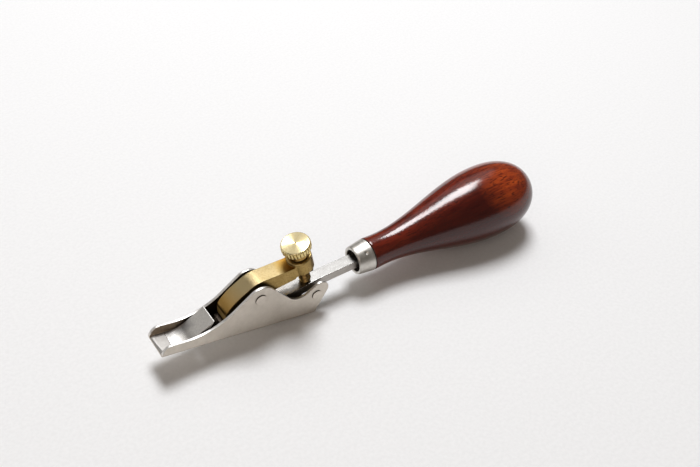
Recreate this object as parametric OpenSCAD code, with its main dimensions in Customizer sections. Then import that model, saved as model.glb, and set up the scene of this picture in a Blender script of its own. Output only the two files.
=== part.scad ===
// Blind nailer: a palm-sized plane that lifts a narrow sliver of wood, so that a nail can be
// driven under it and the sliver glued back down. A small chisel lies in a folded steel channel,
// bevel up. A brass lever cap rocks on a pin between the cheeks, and the thumbscrew in its tail
// pushes on the chisel, which brings the nose down behind the cutting edge.
// The tool is drawn lying as it is put down: on the heel of its sole and the belly of its handle.

/* [Frame] */
// Length of the sole, from the toe to the heel
sole_len = 53.8; // [50:0.2:58]
// Width over both cheeks
frame_w = 10.2; // [9.8:0.1:11]
// Thickness of the sole and the cheeks
wall = 1.0; // [0.8:0.05:1.1]
// Inside radius of the fold between the sole and a cheek
fold_r = 0.4; // [0.2:0.05:0.4]
// Outside radius of that fold
fold_out_r = 0.8; // [0.6:0.1:1.2]
// Height of the cheeks at the toe
toe_h = 3.9; // [3.8:0.1:4.6]
// Radius of the cheeks' front corner
toe_r = 3.2; // [2:0.1:3.5]
// Thickness left at the front lip of the sole
lip_t = 0.5; // [0.4:0.05:0.7]
// Length of the bevel behind the front lip
lip_len = 1; // [0.6:0.1:2]
// Slope of the cheeks where they rise to the hump
rise_angle = 45; // [42:1:48]
// Radius of the sweep from the toe up into that slope
sweep_r = 22.5; // [20:0.5:26]
// Distance from the heel to the hump's centre
hump_x = 21.8; // [21.5:0.1:22.1]
// Height of the hump's centre
hump_z = 12.1; // [11.8:0.1:12.4]
// Radius of the hump round the lever pin
hump_r = 5.2; // [4.8:0.1:5.8]
// Distance from the heel to the bottom of the dip behind the hump
dip_x = 7.6; // [7.2:0.1:8.2]
// Height of the bottom of the dip
dip_z = 8.5; // [8:0.1:9]
// Radius of the dip
dip_r = 5.3; // [4.6:0.1:5.8]
// Distance of the ear's centre behind the heel
ear_x = 0.6; // [0.2:0.05:0.9]
// Height of the ear's centre
ear_z = 9.9; // [9.4:0.1:10.4]
// Radius of the ear
ear_r = 2.95; // [2.8:0.05:3.3]

/* [Toe block] */
// Clearance between the block and each cheek, which clears the fold
block_side = 0.4; // [0.4:0.05:0.6]
// Distance from the heel to the block's rear edge
ramp_x = 36.8; // [36.4:0.1:37.2]
// Height of the rear edge above the underside of the sole
ramp_h = 7.8; // [6.8:0.1:8.2]
// Slope of the ramp
ramp_angle = 38; // [34:1:42]
// Radius of the scoop in front of the ramp
scoop_r = 12; // [9:0.5:13]
// Lean of the block's rear face, which is the front of the throat
throat_lean = 24; // [21:1:26]
// Thickness of the block at its front edge
feather_t = 0.12; // [0.1:0.02:0.3]

/* [Pins] */
// Distance from the heel to the lever pin
pivot_x = 22; // [21.7:0.1:22.3]
// Height of the lever pin
pivot_z = 12.7; // [12.4:0.1:13]
// Diameter of the lever pin
pivot_d = 3.8; // [3:0.1:4.2]
// Distance from the heel to the bed pin
bed_pin_x = 0.6; // [0.2:0.1:1]
// Diameter of the bed pin
bed_pin_d = 3.4; // [2.8:0.1:4]
// Height of the bed pin's flat above the pin's centre
bed_flat = 0.2; // [0.1:0.05:0.6]
// How far the riveted ends stand out of the cheeks
rivet_out = 0.06; // [0.02:0.01:0.15]

/* [Blade] */
// Distance from the heel to the line where the bed meets the underside of the sole
mouth_x = 38.4; // [38:0.1:38.8]
// Angle of the bed to the sole
bed_angle = 12.35; // [12:0.05:12.7]
// Thickness of the sole at the back edge of the mouth
mouth_land = 0.3; // [0.15:0.05:0.5]
// How far the cutting edge is drawn back from the line where the bed meets the sole
edge_back = 0.5; // [0.2:0.1:1]
// Width of the cutting end
blade_w = 5.3; // [4.8:0.1:5.8]
// Thickness of the blade and its shank
blade_t = 3.05; // [2.8:0.05:3.3]
// Angle of the bevel to the flat underside
bevel_angle = 30; // [28:1:32]
// Length of the wide part
blade_len = 32.8; // [32:0.2:35]
// Length of the shoulder that narrows it to the shank
shoulder_len = 8; // [6:0.2:10]
// Width of the shank
shank_w = 4.2; // [3.4:0.1:4.6]
// Length of the bare shank, from the shoulder to the ferrule
shank_len = 14.6; // [12:0.2:17]
// Length of the tang in the handle
tang_len = 34; // [24:1:44]
// Width of the tang
tang_w = 2.6; // [2:0.1:3]
// Thickness of the tang at its tip
tang_tip = 1.4; // [1:0.1:2]

/* [Lever cap] */
// Clearance on each side of the lever cap between the cheeks
lever_side = 1.1; // [0.8:0.05:1.3]
// Slope of the lever cap's arm to the sole when it is clamped
lever_angle = 22.5; // [22:0.5:23]
// Distance from the pivot forward to the crease above the nose
crease_u = 11.5; // [11.3:0.1:11.7]
// Height of the crease above the pivot, across the arm
crease_v = -0.25; // [-0.4:0.05:0]
// Length of the nose's foot on the blade
foot_len = 2; // [1.4:0.1:2.6]
// Distance from the pivot forward to the back of the foot
foot_u = 10.3; // [9.9:0.1:10.5]
// Distance from the pivot back to the centre of the crown
crown_u = 1.3; // [0.9:0.1:1.7]
// Depth of the crown's centre below the pivot
crown_drop = 1.65; // [1.45:0.05:1.85]
// Radius of the crown
crown_r = 6.5; // [6.3:0.1:6.7]
// Radius of the hub round the lever pin
hub_r = 4.3; // [3.9:0.1:4.5]
// Radius of the fillet between the hub and the arm
hub_fillet = 1.5; // [1:0.1:2]
// Height of the arm's top where it meets the boss, above the pivot
arm_top = 2.2; // [1.9:0.1:2.5]
// Depth of the arm's underside below the pivot, if it ran on to there
arm_under = 1.15; // [1:0.05:1.3]
// Slope by which the arm's underside drops towards the boss
arm_droop = 7; // [6:0.5:8]
// Diameter of the boss that holds the thumbscrew
boss_d = 8.2; // [7.6:0.1:8.8]
// Rise of the boss above the arm's top where they meet
boss_rise = 1; // [0.7:0.1:1.4]
// Height by which the boss's underside is spot-faced above the arm's
boss_step = 0.5; // [0.2:0.1:0.8]
// Chamfer on the boss's two rims
boss_chamfer = 0.3; // [0.1:0.05:0.5]

/* [Thumbscrew] */
// Distance from the lever pin to the screw's axis
screw_u = 17.5; // [17.1:0.1:17.9]
// Diameter of the threaded stem
stem_d = 3.9; // [3.4:0.1:4.4]
// Chamfer at the stem's tip
tip_chamfer = 0.45; // [0.2:0.05:0.7]
// Depth to which the stem is set in the head
stem_set = 4; // [3:0.2:4.8]
// Diameter of the head
head_d = 9.75; // [9.2:0.05:10.4]
// Thickness of the head
head_h = 2.5; // [2.2:0.1:3]
// Chamfer round the head
head_chamfer = 0.35; // [0.2:0.05:0.5]
// Number of grooves in the straight knurl
knurl_n = 26; // [20:1:34]
// Depth of the knurl
knurl_depth = 0.3; // [0.15:0.05:0.4]
// Diameter of the neck under the head
neck_d = 6.6; // [5.6:0.1:7.4]
// Length of the neck
neck_h = 2.8; // [2.2:0.1:3.4]
// Space left between the neck and the boss
neck_gap = 0.6; // [0.3:0.1:1.2]

/* [Ferrule] */
// Length of the ferrule
ferrule_len = 5.8; // [5:0.2:7]
// Outside diameter at the front
ferrule_front_d = 9.8; // [9.4:0.1:10.4]
// Outside diameter against the wood
ferrule_rear_d = 11.3; // [11:0.1:11.8]
// Inside diameter
ferrule_bore_d = 7.7; // [7:0.1:8.2]
// Depth of the wood behind the ferrule's mouth
ferrule_recess = 2; // [1:0.1:3]

/* [Handle] */
// Length of the handle behind the ferrule
handle_len = 69; // [62:1:76]
// Largest diameter of the handle
belly_d = 26; // [24:0.2:28]
// Distance from the ferrule to the largest diameter
belly_at = 49.5; // [46:0.5:52]
// Diameter of the waist
waist_d = 11; // [10.4:0.1:11.4]
// Distance from the ferrule to the waist
waist_at = 5; // [3:0.5:7]
// Fullness of the butt: 2 is an ellipse, more is squarer
butt_power = 2.35; // [2:0.05:2.8]

/* [Fits] */
// Radial clearance where one round piece turns or slides in another
run_gap = 0.05; // [0.03:0.01:0.08]
// Clearance between pieces that are seated or pressed together
seat_gap = 0.02; // [0.01:0.01:0.04]
// Clearance where the nose and the screw's tip press on the blade
press_gap = 0.03; // [0.02:0.01:0.05]
// Clearance on each side of the blade in the mouth
mouth_side = 0.2; // [0.1:0.05:0.25]

/* [Hidden] */
$fn = 96;
inside_w = frame_w - 2 * wall;
lever_w = inside_w - 2 * lever_side;
over = 1;
// How far an outline's straight runs end inside the arcs they touch, so that the two cross cleanly
tuck = 0.005;

// Key points of the frame's side view: X from the heel, and up from the underside of the sole
pivot_c = [-pivot_x, pivot_z];
hump_c = [-hump_x, hump_z];
dip_c = [-dip_x, dip_z + dip_r];
ear_c = [ear_x, ear_z];
heel = [0, 0];
rise_dir = [cos(rise_angle), sin(rise_angle)];
rise_normal = [-sin(rise_angle), cos(rise_angle)];
hump_front = hump_c + hump_r * rise_normal;
rise_len = (hump_front[1] - toe_h - sweep_r * (1 - cos(rise_angle))) / sin(rise_angle);
sweep_end = hump_front - rise_len * rise_dir;
sweep_c = sweep_end + sweep_r * rise_normal;

// The blade's frame: X along the bed from the mouth, Z square to the bed
blade_z = seat_gap;
blade_top = seat_gap + blade_t;
axis_z = seat_gap + blade_t / 2;
shoulder_x = edge_back + blade_len;
shank_x = shoulder_x + shoulder_len;
ferrule_x = shank_x + shank_len;
wood_x = ferrule_x + ferrule_len;
tenon_x = ferrule_x + ferrule_recess;

// The lever's frame: U along the arm from the lever pin, V square to it
boss_r = boss_d / 2;
boss_top = arm_top + boss_rise;
arm_end_v = -arm_under - (screw_u - boss_r) * tan(arm_droop);
boss_under = arm_end_v + boss_step;
neck_v = boss_top + neck_gap;
head_v = neck_v + neck_h;
head_top = head_v + head_h;
bed_turn = bed_angle - lever_angle;
pivot_over_bed = (mouth_x - pivot_x) * -sin(bed_angle) + pivot_z * cos(bed_angle);
tip_r = stem_d / 2 - tip_chamfer;
tip_v = blade_line_v(screw_u - tip_r) + press_gap;

// How the whole tool lies: the slope that brings the handle's belly down to the heel's level
belly_edge = [for (p = handle_outline()) bed_to_side([wood_x + p[1], axis_z - p[0]])];
tilt = min([for (p = belly_edge) atan2(p[1], p[0])]);
butt_edge = [for (p = handle_outline()) bed_to_side([wood_x + p[1], axis_z + p[0]])];
rear_x = max([for (p = concat(belly_edge, butt_edge)) p[0] * cos(tilt) + p[1] * sin(tilt)]);
front_x = -sole_len * cos(tilt);
middle_x = (front_x + rear_x) / 2;

function unit(a) = [cos(a), sin(a)];
function bearing(p) = atan2(p[1], p[0]);

// A point of the blade's frame in the frame's side view
function bed_to_side(p) = [-mouth_x + p[0] * cos(bed_angle) - p[1] * sin(bed_angle),
                           p[0] * sin(bed_angle) + p[1] * cos(bed_angle)];

// Height of the blade's upper face in the lever's frame, at a distance u from the lever pin
function blade_line_v(u) = (blade_top - pivot_over_bed) / cos(bed_turn) + u * tan(bed_turn);

// Where the tangent that crosses between two circles touches the first one and the second one
function cross_angle(c1, r1, c2, r2, side) =
    bearing(c2 - c1) + side * acos((r1 + r2) / norm(c2 - c1));
function cross_tangent(c1, r1, c2, r2, side) =
    let (a = cross_angle(c1, r1, c2, r2, side)) [c1 + (r1 - tuck) * unit(a), c2 - (r2 - tuck) * unit(a)];

// Where the tangent from a point touches a circle
function tangent_from(p, c, r, side) =
    let (d = norm(c - p), in_r = r - tuck, a = bearing(c - p) + side * asin(in_r / d))
        p + sqrt(d * d - in_r * in_r) * unit(a);

function smooth(t) = t * t * (3 - 2 * t);

// The handle's outline from the ferrule to the butt, as radius and distance
function handle_r(x) =
    x < waist_at ? let (t = smooth(x / waist_at)) (ferrule_rear_d * (1 - t) + waist_d * t) / 2
    : x < belly_at ? let (t = smooth((x - waist_at) / (belly_at - waist_at)))
        (waist_d * (1 - t) + belly_d * t) / 2
    : belly_d / 2 * pow(max(0, 1 - pow((x - belly_at) / (handle_len - belly_at), butt_power)),
                        1 / butt_power);
function handle_outline() = concat(
    [for (i = [0 : 5]) let (x = waist_at * i / 6) [handle_r(x), x]],
    [for (i = [0 : 27]) let (x = waist_at + (belly_at - waist_at) * i / 28) [handle_r(x), x]],
    [for (i = [0 : 23]) let (x = belly_at + (handle_len - belly_at) * sin(90 * i / 24))
        [handle_r(x), x]],
    [[0, handle_len]]);

// Puts the finished tool down on a table, heel and belly touching it
module lying() translate([-middle_x, 0, 0]) rotate([0, tilt, 0]) children();

module blade_frame() translate([-mouth_x, 0, 0]) rotate([0, -bed_angle, 0]) children();

module lever_frame() translate([-pivot_x, 0, pivot_z]) rotate([0, -lever_angle, 0]) children();

// Extrudes a side view, drawn as X and height, to a width centred on the tool
module from_side(width) rotate([90, 0, 0]) linear_extrude(width, center = true) children();

// A pin across the tool at a place given in side view
module across(p, d, length) translate([p[0], 0, p[1]]) rotate([90, 0, 0])
    cylinder(h = length, d = d, center = true);

// Outline of a cheek: toe, sweep, hump, dip and ear, all tangent to each other
module cheek_outline() {
    hump_to_dip = cross_tangent(hump_c, hump_r, dip_c, dip_r, 1);
    dip_to_ear = cross_tangent(dip_c, dip_r, ear_c, ear_r, -1);
    difference() {
        polygon([heel, tangent_from(heel, ear_c, ear_r, -1), dip_to_ear[1], dip_to_ear[0],
                 hump_to_dip[1], hump_to_dip[0], hump_front, sweep_end, [sweep_c[0], toe_h],
                 [-sole_len + toe_r, toe_h], [-sole_len, toe_h - toe_r], [-sole_len, 0]]);
        translate(sweep_c) circle(sweep_r + tuck, $fn = 192);
        translate(dip_c) circle(dip_r);
    }
    translate(hump_c) circle(hump_r + tuck);
    translate(ear_c) circle(ear_r);
    translate([-sole_len + toe_r, toe_h - toe_r]) circle(toe_r);
}

// Rectangle with its two lower corners rounded, standing on the X axis
module trough(w, h, r) {
    translate([-w / 2, r]) square([w, h - r]);
    translate([-w / 2 + r, 0]) square([w - 2 * r, h]);
    for (side = [-1, 1]) translate([side * (w / 2 - r), r]) circle(r);
}

// Section of the folded channel
module channel_section() {
    top = hump_z + hump_r + over;
    difference() {
        trough(frame_w, top, fold_out_r);
        translate([0, wall]) trough(inside_w, top, fold_r);
    }
}

// The mouth: its back edge is cut to the slope of the bed
module mouth_cut() {
    front = -ramp_x - (ramp_h - wall) * tan(throat_lean);
    bed_at = function (z) -mouth_x + z / tan(bed_angle);
    from_side(blade_w + 2 * mouth_side)
        polygon([[front, -over], [bed_at(mouth_land), -over], [bed_at(mouth_land), mouth_land],
                 [bed_at(wall + over), wall + over], [front, wall + over]]);
}

module lip_cut() from_side(inside_w)
    polygon([[-sole_len - over, lip_t - over * (wall - lip_t) / lip_len], [-sole_len + lip_len, wall],
             [-sole_len + lip_len, wall + over], [-sole_len - over, wall + over]]);

// Folded steel channel: the sole and its two cheeks in one piece
module frame() color("silver") lying() difference() {
    intersection() {
        from_side(frame_w) cheek_outline();
        translate([-sole_len - over, 0, 0]) rotate([90, 0, 90])
            linear_extrude(sole_len + ear_x + ear_r + 2 * over) channel_section();
    }
    mouth_cut();
    lip_cut();
    across(pivot_c, pivot_d + 2 * seat_gap, frame_w + over);
    across(bed_pin_at(), bed_pin_d + 2 * seat_gap, frame_w + over);
}

// Scooped block in the toe, proud of the cheeks at the throat
module toe_block() color("lightgray") lying() {
    foot_x = -ramp_x - (ramp_h - wall) * tan(throat_lean);
    base = wall + seat_gap;
    scoop_end_z = base + feather_t + scoop_r * (1 - cos(ramp_angle));
    scoop_end_x = -ramp_x - (ramp_h - scoop_end_z) / tan(ramp_angle);
    scoop_x = scoop_end_x - scoop_r * sin(ramp_angle);
    from_side(inside_w - 2 * block_side) difference() {
        polygon([[scoop_x, base], [foot_x, base], [-ramp_x, ramp_h], [scoop_end_x, scoop_end_z],
                 [scoop_x, base + feather_t]]);
        translate([scoop_x, base + feather_t + scoop_r]) circle(scoop_r, $fn = 192);
    }
}

module lever_pin() color("silver") lying() across(pivot_c, pivot_d, frame_w + 2 * rivet_out);

// The bed pin's flat lies against the blade, so its centre is set below the bed, and the flat is
// cut right across the pin
function bed_pin_at() =
    let (s = (mouth_x - bed_pin_x - bed_flat * sin(bed_angle)) / cos(bed_angle))
    bed_to_side([s, -bed_flat]);

module bed_pin() color("silver") lying() difference() {
    across(bed_pin_at(), bed_pin_d, frame_w + 2 * rivet_out);
    blade_frame() translate([0, -inside_w / 2, 0])
        cube([mouth_x / cos(bed_angle) + bed_pin_d, inside_w, blade_t]);
}

// Side view of the lever cap: nose, crown, hub and arm
module lever_outline() {
    crown = [crown_u, -crown_drop];
    hub = [0, 0];
    foot_back = [-foot_u, blade_line_v(-foot_u) + press_gap];
    foot_front_u = -foot_u - foot_len;
    foot_front = [foot_front_u, blade_line_v(foot_front_u) + press_gap];
    crease = [-crease_u, crease_v];
    arm_end = [screw_u - boss_r, arm_top];
    step_u = screw_u - boss_r;
    fillet_drop = arm_under * cos(arm_droop) + hub_fillet;
    fillet_reach = sqrt(pow(hub_r + hub_fillet, 2) - pow(fillet_drop, 2));
    fillet_c = fillet_reach * unit(-arm_droop) - fillet_drop * unit(90 - arm_droop);
    difference() {
        polygon([foot_front, foot_back, tangent_from(foot_back, hub, hub_r, -1),
                 fillet_c * hub_r / (hub_r + hub_fillet), fillet_c + hub_fillet * unit(90 - arm_droop),
                 [step_u, arm_end_v], [step_u + boss_step, boss_under], [screw_u, boss_under],
                 [screw_u, arm_top], arm_end, tangent_from(arm_end, crown, crown_r, -1),
                 tangent_from(crease, crown, crown_r, 1), crease]);
        translate(fillet_c) circle(hub_fillet);
    }
    translate(hub) circle(hub_r);
    intersection() {
        translate(crown) circle(crown_r);
        translate([crown_u - hub_r, 0]) square([2 * hub_r, crown_r]);
    }
}

// Round boss at the tail of the lever cap, chamfered at both rims
module boss() rotate_extrude()
    polygon([[0, boss_under], [boss_r - boss_chamfer, boss_under], [boss_r, boss_under + boss_chamfer],
             [boss_r, boss_top - boss_chamfer], [boss_r - boss_chamfer, boss_top], [0, boss_top]]);

module lever_cap() color("goldenrod") lying() lever_frame() difference() {
    union() {
        from_side(lever_w) lever_outline();
        translate([screw_u, 0, 0]) boss();
    }
    across([0, 0], pivot_d + 2 * run_gap, frame_w);
    translate([screw_u, 0, boss_under - over])
        cylinder(h = boss_top - boss_under + 2 * over, d = stem_d + 2 * run_gap);
}

// Threaded stem of the thumbscrew, from its tip on the blade up into the head
module screw_stem() color("darkgoldenrod") lying() lever_frame() translate([screw_u, 0, 0])
    rotate_extrude() polygon([[0, tip_v], [tip_r, tip_v], [stem_d / 2, tip_v + tip_chamfer],
                              [stem_d / 2, neck_v + stem_set], [0, neck_v + stem_set]]);

// The knurl's ridges and grooves by turns
function knurl_outline() = [for (i = [0 : 2 * knurl_n - 1])
    (head_d / 2 - (i % 2) * knurl_depth) * unit(180 * i / knurl_n)];

module screw_head() color("gold") lying() lever_frame() translate([screw_u, 0, 0]) difference() {
    rim_r = head_d / 2 - head_chamfer;
    union() {
        intersection() {
            translate([0, 0, head_v]) linear_extrude(head_h) polygon(knurl_outline());
            rotate_extrude()
                polygon([[0, head_v], [rim_r, head_v], [rim_r + head_h / 2, head_v + head_h / 2],
                         [rim_r, head_top], [0, head_top]]);
        }
        translate([0, 0, neck_v]) cylinder(h = neck_h + head_h / 2, d = neck_d);
    }
    translate([0, 0, neck_v - over]) cylinder(h = stem_set + over + run_gap, d = stem_d + 2 * run_gap);
}

// Half of the blade's plan, with an S-curve from the wide part to the shank
module blade_plan() {
    steps = 16;
    edge = concat([[edge_back, blade_w / 2]],
                  [for (i = [0 : steps]) let (t = i / steps)
                      [shoulder_x + shoulder_len * t,
                       (blade_w * (1 - smooth(t)) + shank_w * smooth(t)) / 2]],
                  [[tenon_x - seat_gap, shank_w / 2]]);
    polygon(concat(edge, [for (i = [len(edge) - 1 : -1 : 0]) [edge[i][0], -edge[i][1]]]));
}

// Side view of the tang, tapering from the shank to its tip
module tang_side(gap) {
    half = tang_w / 2 + gap;
    tip = tang_tip / 2 + gap;
    start = tenon_x - (gap > 0 ? over : seat_gap);
    polygon([[start, -half], [tenon_x + tang_len + gap, -tip], [tenon_x + tang_len + gap, tip],
             [start, half]]);
}

module blade() color("silver") lying() blade_frame() {
    intersection() {
        translate([0, 0, blade_z]) linear_extrude(blade_t) blade_plan();
        from_side(frame_w) polygon([[edge_back, blade_z], [tenon_x, blade_z], [tenon_x, blade_top],
                                    [edge_back + blade_t / tan(bevel_angle), blade_top]]);
    }
    translate([0, 0, axis_z]) from_side(tang_w) tang_side(0);
}

// Places a piece that was turned about the Z axis on the axis of the blade
module on_axis(x) blade_frame() translate([x, 0, axis_z]) rotate([0, 90, 0]) children();

module ferrule() color("gainsboro") lying() on_axis(ferrule_x) rotate_extrude()
    polygon([[ferrule_bore_d / 2, 0], [ferrule_front_d / 2, 0],
             [ferrule_rear_d / 2, ferrule_len - seat_gap], [ferrule_bore_d / 2, ferrule_len - seat_gap]]);

module handle() color("saddlebrown") lying() difference() {
    on_axis(wood_x) rotate_extrude()
        polygon(concat([[0, ferrule_recess - ferrule_len],
                        [ferrule_bore_d / 2 - seat_gap, ferrule_recess - ferrule_len],
                        [ferrule_bore_d / 2 - seat_gap, 0]], handle_outline()));
    blade_frame() translate([0, 0, axis_z]) from_side(tang_w + 2 * seat_gap) tang_side(seat_gap);
}

frame();
toe_block();
lever_pin();
bed_pin();
lever_cap();
screw_stem();
screw_head();
blade();
ferrule();
handle();
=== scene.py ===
import math

import bmesh
import bpy
from mathutils import Matrix, Vector


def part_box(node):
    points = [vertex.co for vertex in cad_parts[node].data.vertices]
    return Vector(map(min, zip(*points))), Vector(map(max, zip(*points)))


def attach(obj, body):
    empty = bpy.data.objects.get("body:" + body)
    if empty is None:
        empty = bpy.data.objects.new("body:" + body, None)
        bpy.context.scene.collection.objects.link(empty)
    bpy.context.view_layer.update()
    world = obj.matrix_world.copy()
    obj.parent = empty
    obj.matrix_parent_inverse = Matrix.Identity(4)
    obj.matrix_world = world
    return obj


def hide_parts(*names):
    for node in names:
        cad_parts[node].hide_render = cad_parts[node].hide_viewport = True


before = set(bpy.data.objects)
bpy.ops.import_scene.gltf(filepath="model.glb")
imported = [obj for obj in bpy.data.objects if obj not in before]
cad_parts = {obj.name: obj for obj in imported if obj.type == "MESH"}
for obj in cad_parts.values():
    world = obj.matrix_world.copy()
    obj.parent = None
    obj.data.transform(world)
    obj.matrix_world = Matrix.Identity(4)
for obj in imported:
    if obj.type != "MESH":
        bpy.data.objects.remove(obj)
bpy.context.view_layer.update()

# Channel
# The body of the tool: one strip of steel folded into a channel, its two cheeks sawn to the
# hump, dip and ear. It is dressed with a fine file, its faces are left satin and the rims of
# the cheeks are buffed bright. Inside it is browner, and from the scoop back to the heel the
# inside and the floor are painted nearly black as painted shade.

# LYING takes millimetres from the heel, x towards the handle and z up from the sole, to the
# tool's place on the table, where it lies tilted on its heel and its handle.
MM = 0.001
LIE_TILT = math.radians(9.79769)
MIDDLE_X = 19.8327
LYING = Matrix.Scale(MM, 4) @ Matrix.Translation((-MIDDLE_X, 0, 0)) @ Matrix.Rotation(LIE_TILT, 4, "Y")
FROM_LYING = LYING.inverted()

SAME_PLACE = 1e-6
FLAT_WITHIN = math.radians(0.4)
EDGE_OVER = math.radians(28)
SLICES = 8


def ease_edges(node, width, share=None, moved=None, sliced=None):
    """A copy of a piece whose edges are taken off, as a file and a buff leave them.

    share(start, end) is the part of the width that an edge gets, moved(place) moves a corner, and
    sliced(start, end) picks the edges that are divided before that.
    """
    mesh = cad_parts[node].data.copy()
    mesh.materials.clear()
    shape = bmesh.new()
    shape.from_mesh(mesh)
    bmesh.ops.remove_doubles(shape, verts=shape.verts, dist=SAME_PLACE)
    bmesh.ops.dissolve_limit(shape, angle_limit=FLAT_WITHIN, verts=shape.verts, edges=shape.edges)
    if sliced:
        long_edges = [edge for edge in shape.edges if sliced(*(FROM_LYING @ vert.co for vert in edge.verts))]
        bmesh.ops.subdivide_edges(shape, edges=long_edges, cuts=SLICES, use_grid_fill=True)
    if moved:
        for vert in shape.verts:
            vert.co = LYING @ moved(FROM_LYING @ vert.co)
    weight = shape.edges.layers.float.new("bevel_weight_edge")
    for face in shape.faces:
        face.smooth = True
    for edge in shape.edges:
        edge.smooth = True
        if len(edge.link_faces) == 2 and edge.calc_face_angle() > EDGE_OVER:
            start, end = (FROM_LYING @ vert.co for vert in edge.verts)
            edge[weight] = share(start, end) if share else 1
            edge.smooth = edge[weight] > 0
    shape.to_mesh(mesh)
    shape.free()
    blank = bpy.data.objects.new("blank", mesh)
    bpy.context.scene.collection.objects.link(blank)
    bevel = blank.modifiers.new("ease", "BEVEL")
    bevel.width = width * MM
    bevel.segments = 3
    bevel.limit_method = "WEIGHT"
    bevel.use_clamp_overlap = False
    blank.modifiers.new("flat", "WEIGHTED_NORMAL").keep_sharp = True
    eased = bpy.data.meshes.new_from_object(blank.evaluated_get(bpy.context.evaluated_depsgraph_get()))
    bpy.data.objects.remove(blank)
    return eased


def finish_faces(mesh, finishes, choose, into=Matrix()):
    """Gives each face one of the finishes, which choose picks by the face's middle and its way out."""
    for finish in finishes:
        mesh.materials.append(finish.material)
    for face in mesh.polygons:
        out = (into.to_3x3() @ face.normal).normalized()
        face.material_index = finishes.index(choose(into @ face.center, out))


def add_piece(name, mesh, body, node):
    piece = bpy.data.objects.new(name, mesh)
    bpy.context.scene.collection.objects.link(piece)
    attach(piece, body)
    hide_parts(node)
    return piece


class Finish:
    """A material whose nodes are added one by one. Its places are millimetres in the piece's frame."""

    def __init__(self, name, place_in=None, **values):
        self.material = bpy.data.materials.new(name)
        self.material.use_nodes = True
        self.nodes = self.material.node_tree.nodes
        self.links = self.material.node_tree.links
        self.shader = self.nodes["Principled BSDF"]
        self.place = self.nodes.new("ShaderNodeTexCoord").outputs["Object"]
        if place_in:
            move, turn, scale = place_in.decompose()
            self.place = self.stretched(scale, turn.to_euler(), move)
        for socket, value in values.items():
            self.shader.inputs[socket.replace("_", " ")].default_value = value

    def join(self, source, target):
        self.links.new(source, target)

    def stretched(self, scale, turn=(0, 0, 0), move=(0, 0, 0)):
        mapping = self.nodes.new("ShaderNodeMapping")
        mapping.inputs["Scale"].default_value = scale
        mapping.inputs["Rotation"].default_value = turn
        mapping.inputs["Location"].default_value = move
        self.join(self.place, mapping.inputs["Vector"])
        return mapping.outputs["Vector"]

    def along(self, axis):
        parts = self.nodes.new("ShaderNodeSeparateXYZ")
        self.join(self.place, parts.inputs["Vector"])
        return parts.outputs[axis]

    def away_from(self, x, y, z=None):
        """How far a place is from an upright line at x and y, or from the point at x, y and z."""
        if z is None:
            offset = self.stretched((1, 1, 0), move=(-x, -y, 0))
        else:
            offset = self.stretched((1, 1, 1), move=(-x, -y, -z))
        reach = self.nodes.new("ShaderNodeVectorMath")
        reach.operation = "LENGTH"
        self.join(offset, reach.inputs[0])
        return reach.outputs["Value"]

    def noise(self, scale, detail, place=None, rough=0.55):
        noise = self.nodes.new("ShaderNodeTexNoise")
        noise.inputs["Scale"].default_value = scale
        noise.inputs["Detail"].default_value = detail
        noise.inputs["Roughness"].default_value = rough
        self.join(place or self.place, noise.inputs["Vector"])
        return noise.outputs["Fac"]

    def spread(self, value, low, high, start=0.35, end=0.65):
        """Turns a value that goes from start to end into one that goes from low to high."""
        spread = self.nodes.new("ShaderNodeMapRange")
        for socket, number in (("From Min", start), ("From Max", end), ("To Min", low), ("To Max", high)):
            spread.inputs[socket].default_value = number
        self.join(value, spread.inputs["Value"])
        return spread.outputs["Result"]

    def blend(self, factor, first, second):
        mix = self.nodes.new("ShaderNodeMix")
        mix.data_type = "RGBA"
        self.join(factor, mix.inputs[0])
        for socket, colour in ((mix.inputs[6], first), (mix.inputs[7], second)):
            if isinstance(colour, tuple):
                socket.default_value = (*colour, 1)
            else:
                self.join(colour, socket)
        return mix.outputs[2]

    def mottled(self, scale, detail, first, second, rough=0.55):
        return self.blend(self.spread(self.noise(scale, detail, rough=rough), 0, 1), first, second)

    def lesser(self, first, second):
        lesser = self.nodes.new("ShaderNodeMath")
        lesser.operation = "MINIMUM"
        self.join(first, lesser.inputs[0])
        self.join(second, lesser.inputs[1])
        return lesser.outputs["Value"]

    def colour(self, tone):
        self.tone = tone
        self.join(tone, self.shader.inputs["Base Color"])

    def roughness(self, value):
        self.join(value, self.shader.inputs["Roughness"])

    def bump(self, height, depth_mm, strength, onto=None):
        bump = self.nodes.new("ShaderNodeBump")
        bump.inputs["Distance"].default_value = depth_mm * MM
        bump.inputs["Strength"].default_value = strength
        self.join(height, bump.inputs["Height"])
        if onto:
            self.join(onto, bump.inputs["Normal"])
        self.join(bump.outputs["Normal"], self.shader.inputs["Normal"])
        return bump.outputs["Normal"]


def filed_steel(name, light, dark, rough, grain=0.006):
    steel = Finish(name, FROM_LYING, Metallic=1.0)
    scratches = steel.noise(1, 4, steel.stretched((0.22, 0.9, 2.6)))
    steel.colour(steel.mottled(0.3, 6, light, dark, 0.7))
    steel.roughness(steel.spread(steel.noise(0.7, 5), rough - 0.05, rough + 0.08))
    steel.bump(steel.noise(5.2, 3), grain, 0.6, steel.bump(scratches, grain, 0.5))
    return steel


cheek_steel = filed_steel("cheek_steel", (0.63, 0.575, 0.505), (0.56, 0.51, 0.445), 0.42)
rim_steel = filed_steel("rim_steel", (0.80, 0.78, 0.75), (0.70, 0.68, 0.645), 0.36, 0.002)
inside_steel = filed_steel("inside_steel", (0.80, 0.67, 0.54), (0.55, 0.44, 0.34), 0.5)
floor_steel = filed_steel("floor_steel", (0.36, 0.345, 0.325), (0.29, 0.275, 0.26), 0.4)
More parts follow.
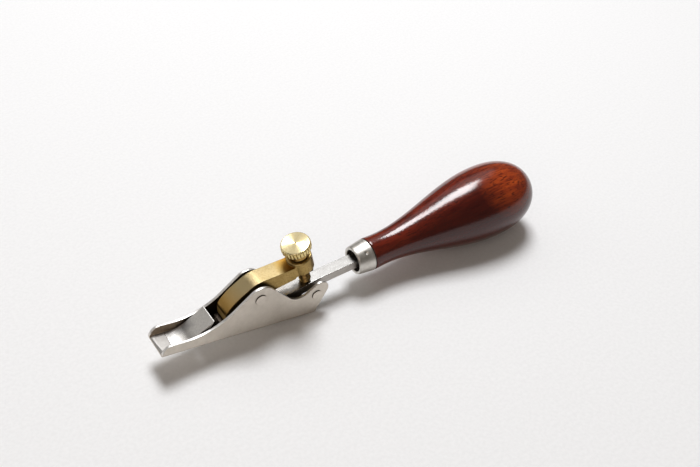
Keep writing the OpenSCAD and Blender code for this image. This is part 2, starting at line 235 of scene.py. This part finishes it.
# From the scoop back to the heel the inside steel and the floor are painted nearly black, a painted shade.
THROAT_SHADE_X = (-46, -42)
for finish in (inside_steel, floor_steel):
    throat_shade = finish.spread(finish.along("X"), 0, 1, *THROAT_SHADE_X)
    finish.colour(finish.blend(throat_shade, finish.tone, (0.08, 0.065, 0.05)))


def pin_middle(pin):
    low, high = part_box(pin)
    return FROM_LYING @ ((Vector(low) + Vector(high)) / 2)


PIN_MIDDLES = [pin_middle("lever_pin"), pin_middle("bed_pin")]
PIN_REACH = 2.0


def at_pin(place):
    """True at a pin's hole or its end."""
    return any(math.dist((place.x, place.z), (middle.x, middle.z)) < PIN_REACH for middle in PIN_MIDDLES)


LIP_X = -52.5
FOLD_TOP = 1.7
CROSSWISE = 3
HOLE_SHARE = 0.3


def channel_share(start, end):
    """The rims and the lip are eased, the pins' holes hardly, and the corners by the fold not at all."""
    at_corner = max(start.x, end.x) < LIP_X and max(start.z, end.z) < FOLD_TOP
    if at_corner and abs(start.y - end.y) < CROSSWISE:
        return 0
    return HOLE_SHARE if at_pin(start) and at_pin(end) else 1


INSIDE_HALF = 4.1
FLOOR_TOP = 1.0


def channel_finish(at, out):
    inner = abs(at.y) < INSIDE_HALF + 0.02
    if inner and out.z > 0.6 and at.z < FLOOR_TOP + 0.3:
        return floor_steel
    if inner and out.y * at.y < -0.5:
        return inside_steel
    if abs(out.y) < 0.9 and out.z > -0.3 and at.z > FLOOR_TOP and not at_pin(at):
        return rim_steel
    return cheek_steel


CHANNEL_EASE = 0.18
channel_mesh = ease_edges("frame", CHANNEL_EASE, channel_share)
finish_faces(channel_mesh, (cheek_steel, rim_steel, inside_steel, floor_steel), channel_finish, FROM_LYING)
add_piece("channel", channel_mesh, "channel", "frame")

# Toe block
# A separate block of steel let into the toe, ground to a scoop that leads the sliver of wood up
# to the throat. The scoop is smooth and pale, and the ramp keeps a fine grain from the wheel.
# Towards the +Y cheek the scoop is painted darker, a painted shade and a painted reflection of
# that cheek's inside.

SCOOP_SHADE_Y = (-0.3, 2.6)
SCOOP_SHADE_X = (-43, -40.5)
SCOOP_X = (-44, -41.5)

block_steel = Finish("block_steel", FROM_LYING, Metallic=1.0)
block_tone = block_steel.mottled(1.6, 6, (0.72, 0.695, 0.655), (0.58, 0.56, 0.525), 0.7)
# The scoop is painted darker towards the +Y cheek, as painted shade and a painted reflection of that cheek's
# inside.
painted_shade = block_steel.lesser(block_steel.spread(block_steel.along("Y"), 0, 0.9, *SCOOP_SHADE_Y),
                           block_steel.spread(block_steel.along("X"), 0.8, 0, *SCOOP_SHADE_X))
block_steel.colour(block_steel.blend(painted_shade, block_tone, (0.25, 0.245, 0.24)))
wheel_marks = block_steel.noise(1, 4, block_steel.stretched((1.8, 0.5, 1.8)))
ground_rough = block_steel.spread(wheel_marks, 0.36, 0.46)
scoop_smooth = block_steel.spread(block_steel.along("X"), 0.27, 0.42, *SCOOP_X)
block_steel.roughness(block_steel.lesser(ground_rough, scoop_smooth))
block_steel.bump(wheel_marks, 0.008, 0.5)

RAMP_TOP = 7.5
FEATHER_X = -49.3
FEATHER_TOP = FLOOR_TOP + 0.04
TOP_STOCK = Vector((0.3, 0, 0.23))
TOP_EASE = 0.6
OTHER_SHARE = 0.15


def block_share(start, end):
    """The edge over the throat is dubbed round, and the others are hardly touched."""
    at_top = min(start.z, end.z) > RAMP_TOP and abs(start.y - end.y) > CROSSWISE
    return 1 if at_top else OTHER_SHARE


def dressed_block(place):
    """The front edge is dressed down to the floor, and the top edge has stock for its round."""
    if place.x < FEATHER_X:
        return Vector((place.x, place.y, min(place.z, FEATHER_TOP)))
    return place + TOP_STOCK if place.z > RAMP_TOP else place


def block_finish(at, out):
    on_round = at.z > RAMP_TOP - 0.2 and -0.58 < out.x < 0.85 and abs(out.y) < 0.5
    return rim_steel if on_round else block_steel


block_mesh = ease_edges("toe_block", TOP_EASE, block_share, dressed_block)
finish_faces(block_mesh, (block_steel, rim_steel), block_finish, FROM_LYING)
add_piece("scooped_block", block_mesh, "channel", "toe_block")

# Pins
# Two steel pins through the cheeks, whose riveted ends stand a little proud with a faint ring
# round them. The lever cap rocks on the one in the hump. The chisel's shank rests on a flat of
# the one in the ears.

CHEEK_FACE = 5.1
RIVET_OUT = 0.34
PIN_EASE = 0.12

pin_steel = filed_steel("pin_steel", (0.66, 0.60, 0.53), (0.50, 0.45, 0.39), 0.36, 0.02)


def riveted(place):
    if abs(place.y) < CHEEK_FACE:
        return place
    return Vector((place.x, math.copysign(CHEEK_FACE + RIVET_OUT, place.y), place.z))


# The pins' round sides take the inside steel, painted nearly black between the cheeks as painted shade.
def pin_finish(at, out):
    return inside_steel if abs(out.y) < 0.5 else pin_steel


for pin, name in (("lever_pin", "rocking_pin"), ("bed_pin", "resting_pin")):
    pin_mesh = ease_edges(pin, PIN_EASE, moved=riveted)
    finish_faces(pin_mesh, (pin_steel, inside_steel), pin_finish)
    add_piece(name, pin_mesh, "channel", pin)

# Lever cap
# A lever cast in brass and filed: the flat-fronted nose that presses behind the edge, a slope
# that curves over to the crown above the pin, the arm and the round boss at its tail. It keeps
# some of the casting's skin. Its upward faces are a paler copy of the brass as a painted
# highlight, palest over the crown and the slope. On them painted shade darkens the slope towards
# the nose, the knob's painted shadow lies round the screw, and a painted highlight is on the boss's top.

# In the lever's frame, u runs from the pin along the arm and v stands off it.
PIVOT_X = -22
PIVOT_Z = 12.7
LEVER_ANGLE = math.radians(22.5)
LEVER = LYING @ Matrix.Translation((PIVOT_X, 0, PIVOT_Z)) @ Matrix.Rotation(-LEVER_ANGLE, 4, "Y")
FROM_LEVER = LEVER.inverted()
SCREW_U = 17.5

# Painted light on the lever's top: the knob's painted shadow round the screw, a painted highlight on the
# boss's top and over the crown, and painted shade down the slope towards the nose.
KNOB_SHADOW_R = (6.6, 9.2)
KNOB_SHADOW_CORE_R = (4.8, 7.4)
BOSS_R = (4.1, 4.3)
CROWN_HIGHLIGHT_U = (0.5, 3.5)
NOSE_SHADE_U = (-10, -3.5)


def cast_brass(name, light, dark, spot):
    brass = Finish(name, FROM_LEVER, Metallic=1.0)
    skin = brass.noise(1.7, 5, rough=0.7)
    filed = brass.noise(1, 3, brass.stretched((0.3, 3.5, 3.5)))
    pitted = brass.spread(skin, 0, 0.75, 0.47, 0.62)
    brass.colour(brass.blend(pitted, brass.mottled(0.33, 4, light, dark), spot))
    brass.roughness(brass.spread(skin, 0.28, 0.44, 0.4, 0.6))
    brass.bump(skin, 0.06, 0.7, brass.bump(filed, 0.005, 0.5))
    return brass


cap_brass = cast_brass("cap_brass", (0.40, 0.275, 0.10), (0.32, 0.215, 0.07), (0.24, 0.15, 0.045))
lit_top_brass = cast_brass("lit_top_brass", (0.36, 0.28, 0.145), (0.29, 0.225, 0.11), (0.25, 0.18, 0.075))
from_screw = lit_top_brass.away_from(SCREW_U, 0)
from_pin = lit_top_brass.along("X")
for where, most, limits, painted_light_tone in ((from_screw, 0.8, KNOB_SHADOW_R, (0.34, 0.215, 0.055)),
                                    (from_screw, 0.8, KNOB_SHADOW_CORE_R, (0.34, 0.155, 0.014)),
                                    (from_screw, 0.85, BOSS_R, (0.46, 0.35, 0.15)),
                                    (from_pin, 0.9, CROWN_HIGHLIGHT_U, (0.52, 0.41, 0.22)),
                                    (from_pin, 0.95, NOSE_SHADE_U, (0.42, 0.245, 0.062))):
    share = lit_top_brass.spread(where, most, 0, *limits)
    lit_top_brass.colour(lit_top_brass.blend(share, lit_top_brass.tone, painted_light_tone))
nose_brass = Finish("nose_brass", FROM_LEVER, Metallic=0.4, Roughness=0.55)
nose_brass.colour(nose_brass.mottled(1.2, 4, (0.72, 0.50, 0.19), (0.52, 0.35, 0.11)))

NOSE_U = -11.5
NOSE_TOP_V = -0.25
CROWN_U = -1.149
SLOPE_RISE = 0.4464
SLOPE_OUT = Vector((-0.4077, 0, 0.9131))
BULGE = 0.9
BULGE_END_U = 2.1
NOSE_EASE = 0.7
FILED_EASE = 0.16


def in_lever(place):
    return FROM_LEVER @ (LYING @ place)


def along_slope(start, end):
    """True for the two long edges of the slope, from the nose to the crown."""
    ends = [in_lever(place) for place in (start, end)]
    return (all(place.z > NOSE_TOP_V - 0.1 for place in ends) and abs(ends[0].y - ends[1].y) < 0.1
            and abs(abs(ends[0].x - ends[1].x) - (CROWN_U - NOSE_U)) < 0.1)


def bulged(place):
    """The slope is filled out to a curve, most at a third of its way up, that runs on into the crown."""
    at = in_lever(place)
    above = at.z - NOSE_TOP_V - (at.x - NOSE_U) * SLOPE_RISE
    under_top = above < -0.02 - max(0.0, at.x - CROWN_U) * 0.5
    if under_top or at.x > BULGE_END_U or at.x < NOSE_U - 0.1:
        return place
    way = (at.x - NOSE_U) / (BULGE_END_U - NOSE_U)
    return FROM_LYING @ (LEVER @ (at + SLOPE_OUT * (BULGE * 6.75 * way * (1 - way) ** 2)))


def cap_share(start, end):
    """The nose's top edge is cast round, and the others are only broken with a file."""
    ends = [in_lever(place) for place in (start, end)]
    at_nose = all(abs(place.x - NOSE_U) < 0.05 and abs(place.z - NOSE_TOP_V) < 0.05 for place in ends)
    return 1 if at_nose else FILED_EASE / NOSE_EASE


# Upward faces take the paler copy of the brass, a painted highlight.
def cap_finish(at, out):
    if out.z > 0.25 and abs(out.y) < 0.9:
        return lit_top_brass
    return nose_brass if out.x < -0.8 and at.x < CROWN_U else cap_brass


cap_mesh = ease_edges("lever_cap", NOSE_EASE, cap_share, bulged, along_slope)
finish_faces(cap_mesh, (cap_brass, lit_top_brass, nose_brass), cap_finish, FROM_LEVER)
add_piece("brass_lever", cap_mesh, "cap", "lever_cap")

# Thumbscrew
# Turned from one bar of brass: a threaded stem, a neck, and a head with a coarse straight knurl.
# The top is faced on the lathe, so it shines in sectors, and has a bevel round it and the small
# dimple of the lathe's centre.

SCREW = LEVER @ Matrix.Translation((SCREW_U, 0, 0))
TIP_V = -8.75554
TIP_CHAMFER = 0.45
THREAD_R = 1.95
THREAD_PITCH = 0.7
THREAD_DEPTH = 0.3
THREAD_ROWS = 10
SHANK_R = THREAD_R - 0.02
SHANK_IN_HEAD = 3.9
NECK_V = 3.8
NECK_R = 3.3
NECK_CHAMFER = 0.25
HEAD_V = 6.6
HEAD_TOP = 9.1
HEAD_R = 4.875
GROOVES = 26
KNURL_DEPTH = 0.34
SHARP_OVER = math.radians(40)

# The head's small turned edges, in steps. The first number is a distance out from the neck, in
# from the rim or out from the axis, and the second a distance from the head's lower or upper face.
FILLET = ((0, 0.35), (0.1, 0.1), (0.35, 0))
LOWER_BEVEL = ((0.5, 0), (0.3, 0.04), (0.12, 0.14), (0, 0.3))
UPPER_BEVEL = ((0, 0.55), (0.16, 0.4), (0.18, 0.3), (0.22, 0.18), (0.32, 0.07), (0.45, 0.015),
               (0.55, 0), (0.6, 0))
DIMPLE = ((0.34, 0), (0.3, 0), (0.24, 0.05), (0.1, 0.2), (0, 0.22))


def turned(rows, segments, radius_at=None):
    """A surface turned from rows of radius and height, closed on the axis or on its own first row."""
    shape = bmesh.new()
    tube = rows[0] == rows[-1]
    rings = []
    for radius, height in rows[:-1] if tube else rows:
        if radius == 0:
            rings.append([shape.verts.new((0, 0, height))])
            continue
        ring = []
        for step in range(segments):
            angle = 2 * math.pi * step / segments
            reach = radius_at(radius, height, angle) if radius_at else radius
            ring.append(shape.verts.new((reach * math.cos(angle), reach * math.sin(angle), height)))
        rings.append(ring)
    if tube:
        rings.append(rings[0])
    for low, high in zip(rings, rings[1:]):
        for step in range(segments):
            after = (step + 1) % segments
            if len(low) == 1:
                shape.faces.new((low[0], high[after], high[step]))
            elif len(high) == 1:
                shape.faces.new((low[step], low[after], high[0]))
            else:
                shape.faces.new((low[step], low[after], high[after], high[step]))
    bmesh.ops.recalc_face_normals(shape, faces=shape.faces)
    mesh = bpy.data.meshes.new("turned")
    shape.to_mesh(mesh)
    shape.free()
    mesh.polygons.foreach_set("use_smooth", [True] * len(mesh.polygons))
    mesh.set_sharp_from_angle(angle=SHARP_OVER)
    return mesh


def thread_at(radius, height, angle):
    """A thread with a narrow flat on its crest and one in its root."""
    if radius < THREAD_R or height > NECK_V:
        return radius
    wave = abs(2 * ((height / THREAD_PITCH - angle / (2 * math.pi)) % 1) - 1)
    return radius - THREAD_DEPTH * max(0.0, min(1.0, 1.5 * wave - 0.25))


def knurl_at(radius, height, angle):
    """Round ribs with sharp grooves between them, cut off by the bevels above and below."""
    if height < HEAD_V:
        return radius
    return min(radius, HEAD_R - KNURL_DEPTH * (1 - abs(math.cos(GROOVES * angle / 2)) ** 0.7))


stem_brass = Finish("stem_brass", Metallic=1.0)
stem_brass.colour(stem_brass.mottled(1.6, 4, (0.38, 0.25, 0.09), (0.14, 0.085, 0.03)))
stem_brass.roughness(stem_brass.spread(stem_brass.noise(3, 4), 0.28, 0.46))

thread_from = TIP_V + TIP_CHAMFER
thread_rows = [(THREAD_R, thread_from + THREAD_PITCH * step / THREAD_ROWS)
               for step in range(int((NECK_V - thread_from) / THREAD_PITCH * THREAD_ROWS))]
stem_rows = [(0, TIP_V), (THREAD_R - TIP_CHAMFER, TIP_V)] + thread_rows
stem_rows += [(SHANK_R, NECK_V + 0.1), (SHANK_R, NECK_V + SHANK_IN_HEAD), (0, NECK_V + SHANK_IN_HEAD)]
stem_mesh = turned(stem_rows, 60, thread_at)
stem_mesh.materials.append(stem_brass.material)
stem = add_piece("threaded_stem", stem_mesh, "stem", "screw_stem")
stem.matrix_world = SCREW

screw_brass = Finish("screw_brass", Metallic=1.0)
# The knurl is darker towards the bottoms of its grooves.
groove_darkening = screw_brass.spread(screw_brass.away_from(0, 0), 0.9, 0, HEAD_R - KNURL_DEPTH, HEAD_R - 0.1)
crest = screw_brass.mottled(0.9, 4, (0.80, 0.66, 0.33), (0.66, 0.50, 0.20))
screw_brass.colour(screw_brass.blend(groove_darkening, crest, (0.20, 0.12, 0.02)))
turning = screw_brass.noise(1, 3, screw_brass.stretched((0.5, 0.5, 9)))
screw_brass.roughness(screw_brass.spread(turning, 0.24, 0.36))
# The neck and the head's underside are painted dark brown, a painted shade under the head.
shaded_neck_brass = Finish("shaded_neck_brass", Metallic=1.0, Roughness=0.3)
shaded_neck_brass.colour(shaded_neck_brass.mottled(1.2, 4, (0.48, 0.30, 0.09), (0.29, 0.17, 0.045)))
face_brass = Finish("face_brass", Metallic=1.0, Roughness=0.26, Anisotropic=0.8, Anisotropic_Rotation=0.25)
face_brass.colour(face_brass.mottled(1.1, 5, (0.93, 0.80, 0.48), (0.86, 0.71, 0.39)))
sweep = face_brass.nodes.new("ShaderNodeTangent")
sweep.direction_type = "RADIAL"
sweep.axis = "Z"
face_brass.join(sweep.outputs["Tangent"], face_brass.shader.inputs["Tangent"])


def head_finish(at, out):
    if at.z > HEAD_TOP - 0.2 and out.z > 0.3:
        return face_brass
    return shaded_neck_brass if at.z < HEAD_V + 0.02 else screw_brass


head_rows = [(0, NECK_V), (NECK_R - NECK_CHAMFER, NECK_V), (NECK_R, NECK_V + NECK_CHAMFER)]
head_rows += [(NECK_R + outward, HEAD_V - down) for outward, down in FILLET]
head_rows += [(HEAD_R - inward, HEAD_V + up) for inward, up in LOWER_BEVEL]
head_rows += [(HEAD_R - inward, HEAD_TOP - down) for inward, down in UPPER_BEVEL]
head_rows += [(radius, HEAD_TOP - down) for radius, down in DIMPLE]
head_mesh = turned(head_rows, GROOVES * 12, knurl_at)
finish_faces(head_mesh, (screw_brass, face_brass, shaded_neck_brass), head_finish)
head = add_piece("knurled_head", head_mesh, "knob", "screw_head")
head.matrix_world = SCREW

# Chisel
# A small forged and ground chisel that lies bevel up in the channel. Its top is polished by the
# lever's nose and the screw, and its sides are left duller. Near the edge its top is painted
# nearly black as painted shade, under the lever it is painted darker and browner as painted
# shade and a painted reflection of the brass, and in the channel its sides are painted dark
# brown as painted shade.

# In the bed's frame, x runs from the cutting edge up the shank.
EDGE_X = -38.4
BED_ANGLE = math.radians(12.35)
BED = LYING @ Matrix.Translation((EDGE_X, 0, 0)) @ Matrix.Rotation(-BED_ANGLE, 4, "Y")
EDGE_SHADE_X = (9, 10.5)
BROWN_X = (20, 33)
SIDE_SHADE_X = (38.5, 40.5)
CHISEL_EASE = 0.1

chisel_steel = Finish("chisel_steel", BED.inverted(), Metallic=1.0)
chisel_steel.colour(chisel_steel.mottled(0.3, 4, (0.43, 0.42, 0.405), (0.38, 0.37, 0.355)))
# The top is painted darker and browner under the lever, as painted shade and a painted reflection of the
# brass, and nearly black near the edge as painted shade.
for most, limits, painted_shade in ((0.75, BROWN_X, (0.26, 0.20, 0.145)), (1, EDGE_SHADE_X, (0.045, 0.036, 0.028))):
    share = chisel_steel.spread(chisel_steel.along("X"), most, 0, *limits)
    chisel_steel.colour(chisel_steel.blend(share, chisel_steel.tone, painted_shade))
stoned = chisel_steel.noise(1, 4, chisel_steel.stretched((0.22, 4.2, 4.2)))
chisel_steel.roughness(chisel_steel.spread(stoned, 0.21, 0.26))
chisel_steel.bump(stoned, 0.0015, 0.4)

side_steel = Finish("side_steel", BED.inverted(), Metallic=1.0)
ground = side_steel.noise(1, 4, side_steel.stretched((0.3, 3.6, 3.6)))
dull = side_steel.blend(side_steel.spread(ground, 0, 1), (0.52, 0.49, 0.46), (0.44, 0.41, 0.38))
# Where they lie in the channel the sides are painted dark brown, a painted shade.
share = side_steel.spread(side_steel.along("X"), 1, 0, *SIDE_SHADE_X)
side_steel.colour(side_steel.blend(share, dull, (0.30, 0.26, 0.215)))
side_steel.roughness(side_steel.spread(ground, 0.36, 0.48))


def blade_finish(at, out):
    return side_steel if out.z < 0.5 else chisel_steel


blade_mesh = ease_edges("blade", CHISEL_EASE)
finish_faces(blade_mesh, (chisel_steel, side_steel), blade_finish)
add_piece("chisel_blade", blade_mesh, "chisel", "blade")

# Ferrule
# A collar of nickel-plated brass tube, spun to a slight taper, with a thick rim round its open
# mouth. One punch mark fixes it to the wood, and its bore at the mouth and the seam at the back
# are near black.

FERRULE_X = 55.9
AXIS_Z = 1.545
FERRULE_LEN = 5.8
FRONT_R = 4.9
REAR_R = 5.65
BORE_R = 3.85
BACK_AT = FERRULE_LEN - 0.02
BACK_CHAMFER = 0.12
TAPER_FROM = 0.3
TAPER_LEN = BACK_AT - 0.45
TAPER_ROWS = 25
ON_AXIS = BED @ Matrix.Translation((FERRULE_X, 0, AXIS_Z)) @ Matrix.Rotation(math.pi / 2, 4, "Y")
PUNCH_ANGLE = math.radians(215)
PUNCH_AT = 3.4
PUNCH_R = 0.55
PUNCH_FALL = 1.6
PUNCH_DEPTH = 0.28

# The edges of the mouth and the rim, in steps out from the bore or in from the rim, and back from
# the front.
MOUTH_EDGE = ((0, 0.35), (0.12, 0.1), (0.35, 0))
RIM_EDGE = ((0.3, 0), (0.1, 0.08), (0, TAPER_FROM))

plate = Finish("plated_nickel", ON_AXIS.inverted(), Metallic=1.0)
buffing = plate.noise(1, 4, plate.stretched((0.35, 0.35, 5)))
plate.colour(plate.mottled(0.5, 4, (0.64, 0.61, 0.565), (0.54, 0.515, 0.47)))
plate.roughness(plate.spread(buffing, 0.34, 0.46))
plate.bump(plate.noise(3.2, 4), 0.01, 0.5)
# The bore at the mouth and the seam at the back are near black.
mouth_and_seam_black = Finish("mouth_and_seam_black", ON_AXIS.inverted(), Metallic=0.6, Roughness=0.6)
mouth_and_seam_black.colour(mouth_and_seam_black.mottled(1.4, 4, (0.035, 0.028, 0.024), (0.07, 0.058, 0.05)))


def punched(radius, height, angle):
    turn = angle - PUNCH_ANGLE
    if radius < FRONT_R - 0.4 or math.cos(turn) < 0:
        return radius
    away = math.hypot(radius * math.sin(turn), height - PUNCH_AT) / PUNCH_R
    return radius - PUNCH_DEPTH * math.exp(-away * away * PUNCH_FALL)


def taper_row(step):
    along = TAPER_FROM + TAPER_LEN * step / (TAPER_ROWS + 1)
    return FRONT_R + (REAR_R - FRONT_R) * along / FERRULE_LEN, along


def collar_finish(at, out):
    return mouth_and_seam_black if math.hypot(at.x, at.y) < BORE_R + 0.05 else plate


collar_rows = [(BORE_R, BACK_AT)]
collar_rows += [(BORE_R + outward, back) for outward, back in MOUTH_EDGE]
collar_rows += [(FRONT_R - inward, back) for inward, back in RIM_EDGE]
collar_rows += [taper_row(step) for step in range(1, TAPER_ROWS + 1)]
collar_rows += [(REAR_R - 0.02, BACK_AT - BACK_CHAMFER), (REAR_R - BACK_CHAMFER, BACK_AT), (BORE_R, BACK_AT)]
collar_mesh = turned(collar_rows, 160, punched)
finish_faces(collar_mesh, (plate, mouth_and_seam_black), collar_finish)
collar_mesh.transform(ON_AXIS)
add_piece("collar", collar_mesh, "chisel", "ferrule")

# Handle
# A pear-shaped handle turned from one piece of close-grained wood, stained red-brown and given
# many coats of varnish. Near the butt the pores cut across and show as short dark flecks.

HANDLE_AT = ON_AXIS @ Matrix.Translation((0, 0, FERRULE_LEN))
HANDLE_LEN = 69
BELLY_R = 13
BELLY_AT = 49.5
WAIST_R = 5.5
WAIST_AT = 5
BUTT_POWER = 2.35
PLUG_R = BORE_R - 0.02
PLUG_FROM = -3.8
SEAM = 0.32
SHOULDER_AT = SEAM + 0.15
BODY_ROWS = 90
BUTT_ROWS = 60
SHADED_SIDE_Y = (-7, -1)
WARM_AT = (-10.5, -5, 55)
WARM_REACH = (3, 13)


def smooth(way):
    return way * way * (3 - 2 * way)


def handle_radius(along):
    """The waist and the belly are joined by smooth curves, and the butt is a blunt ellipse."""
    if along < WAIST_AT:
        way = smooth(along / WAIST_AT)
        return REAR_R * (1 - way) + WAIST_R * way
    if along < BELLY_AT:
        way = smooth((along - WAIST_AT) / (BELLY_AT - WAIST_AT))
        return WAIST_R * (1 - way) + BELLY_R * way
    way = (along - BELLY_AT) / (HANDLE_LEN - BELLY_AT)
    return BELLY_R * max(0.0, 1 - way ** BUTT_POWER) ** (1 / BUTT_POWER)


wood = Finish("varnished_wood", HANDLE_AT.inverted(), Roughness=0.5, Specular_IOR_Level=0,
              Coat_Weight=1.0, Coat_Roughness=0.16, Coat_IOR=1.5)
grain = wood.noise(1, 5, wood.stretched((0.55, 0.55, 0.05)), 0.6)
figure = wood.noise(1, 4, wood.stretched((0.12, 0.12, 0.03)), 0.6)
pores = wood.noise(1, 3, wood.stretched((2.7, 2.7, 0.4)), 0.6)
red = wood.blend(wood.spread(grain, 0, 1), (0.19, 0.020, 0.007), (0.065, 0.005, 0.002))
red = wood.blend(wood.spread(figure, 0, 0.4, 0.45, 0.65), red, (0.30, 0.045, 0.010))
# The side towards -Y is painted nearly black, a painted shade.
red = wood.blend(wood.spread(wood.along("Y"), 0.85, 0, *SHADED_SIDE_Y), red, (0.035, 0.002, 0.001))
warm = wood.blend(wood.spread(grain, 0, 1), (0.44, 0.066, 0.010), (0.20, 0.022, 0.006))
tone = wood.blend(wood.spread(wood.away_from(*WARM_AT), 1, 0, *WARM_REACH), red, warm)
wood.colour(wood.blend(wood.spread(pores, 0, 0.9, 0.54, 0.62), tone, (0.045, 0.006, 0.003)))
varnish = wood.bump(wood.noise(1.3, 3), 0.05, 0.6, wood.bump(pores, 0.008, 0.4))
wood.join(varnish, wood.shader.inputs["Coat Normal"])


def handle_finish(at, out):
    return mouth_and_seam_black if at.z < SEAM else wood


body = [SHOULDER_AT + (BELLY_AT - SHOULDER_AT) * row / BODY_ROWS for row in range(BODY_ROWS)]
quarter = math.pi / 2
butt = [BELLY_AT + (HANDLE_LEN - BELLY_AT) * math.sin(quarter * row / BUTT_ROWS) for row in range(BUTT_ROWS)]
handle_rows = [(0, PLUG_FROM), (PLUG_R, PLUG_FROM), (PLUG_R, -0.01),
               (REAR_R - 0.35, 0), (REAR_R - 0.3, SEAM - 0.1), (REAR_R - 0.08, SEAM)]
handle_rows += [(handle_radius(along), along) for along in body + butt] + [(0, HANDLE_LEN)]
handle_mesh = turned(handle_rows, 160)
finish_faces(handle_mesh, (wood, mouth_and_seam_black), handle_finish)
handle_mesh.transform(HANDLE_AT)
add_piece("turned_handle", handle_mesh, "chisel", "handle")

# Table, light and camera
# The tool lies on a plain pale table, on its heel and the belly of its handle. A soft lamp hangs
# over it. Wide pale screens behind it and on the left, and a weak one in front, fill the shadows.

TABLE_HALF = 3
TABLE_DROP = 0.00005

table_shape = bmesh.new()
bmesh.ops.create_grid(table_shape, x_segments=1, y_segments=1, size=TABLE_HALF)
table_mesh = bpy.data.meshes.new("table")
table_shape.to_mesh(table_mesh)
table_shape.free()
table = bpy.data.objects.new("table", table_mesh)
bpy.context.scene.collection.objects.link(table)
table.location.z = -TABLE_DROP
cloth = Finish("table_cloth", Roughness=0.9)
cloth.colour(cloth.mottled(900, 4, (0.86, 0.86, 0.86), (0.82, 0.82, 0.82)))
table_mesh.materials.append(cloth.material)

sky = bpy.data.worlds.new("sky")
bpy.context.scene.world = sky
sky.use_nodes = True
sky.node_tree.nodes["Background"].inputs["Color"].default_value = (1.0, 0.92, 0.83, 1)
sky.node_tree.nodes["Background"].inputs["Strength"].default_value = 0.13

LAMPS_AIM = Vector((0, 0, 0.01))


def add_lamp(name, at, size, watts, colour=(1, 1, 1)):
    lamp = bpy.data.lights.new(name, "AREA")
    lamp.shape = "RECTANGLE"
    lamp.size, lamp.size_y = size
    lamp.energy = watts
    lamp.color = colour
    stand = bpy.data.objects.new(name, lamp)
    bpy.context.scene.collection.objects.link(stand)
    stand.location = at
    stand.rotation_euler = (LAMPS_AIM - Vector(at)).to_track_quat("-Z", "Y").to_euler()


add_lamp("window", (0.20, 0.36, 1.0), (0.36, 0.43), 10.4, (0.98, 0.99, 1.01))
add_lamp("screen", (0.35, 0.9, 1.02), (1.2, 0.7), 1.8)
add_lamp("far_wall", (-1.2, 1.1, 0.8), (1.6, 1.0), 2.7)
add_lamp("fill", (-0.9, -0.8, 0.9), (0.9, 0.9), 3.0, (1.12, 0.96, 0.84))

CAMERA_AT = (-0.133289, -0.180063, 0.220522)
CAMERA_RIGHT = Vector((0.833958, -0.549910, 0.045978))
CAMERA_UP = Vector((0.337166, 0.573730, 0.746431))
PICTURE_WIDTH = 700
FOCAL_PIXELS = 921.9
SENSOR = 36

lens = bpy.data.cameras.new("camera")
lens.sensor_width = SENSOR
lens.lens = SENSOR * FOCAL_PIXELS / PICTURE_WIDTH
lens.clip_start = 0.01
eye = bpy.data.objects.new("camera", lens)
bpy.context.scene.collection.objects.link(eye)
turn = Matrix((CAMERA_RIGHT, CAMERA_UP, CAMERA_RIGHT.cross(CAMERA_UP))).transposed()
eye.matrix_world = Matrix.Translation(CAMERA_AT) @ turn.to_4x4()
bpy.context.scene.camera = eye
bpy.context.scene.view_settings.view_transform = "Standard"
